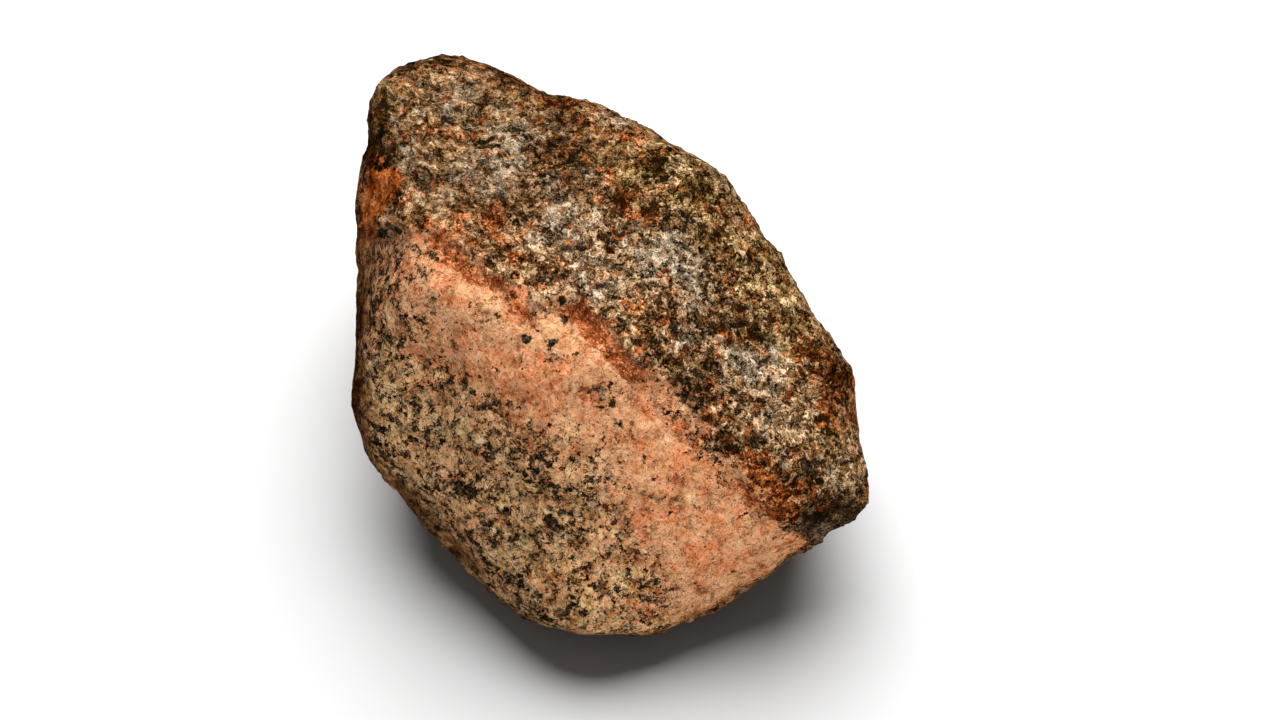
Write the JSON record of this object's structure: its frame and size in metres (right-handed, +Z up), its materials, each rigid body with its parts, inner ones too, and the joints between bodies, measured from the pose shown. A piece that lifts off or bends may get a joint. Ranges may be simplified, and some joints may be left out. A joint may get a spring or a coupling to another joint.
{
  "type": "meteorite",
  "caption": "Rough single stone that rests on a flat broken base, with a coarse crusted face, a smoother pink speckled face and a low ledge between them.",
  "frame": {"origin": "middle of the stone's bounding box in X and Y, on the flat base it rests on", "axes": "+Z up from the base; -Y towards the side that shows best, which leans back; +X to the right seen from that side"},
  "size_m": [0.0784, 0.0846, 0.0504],
  "materials": {
    "weathered_stone": "matte"
  },
  "bodies": {
    "root": {"meteorite": "weathered_stone"}
  },
  "joints": []
}
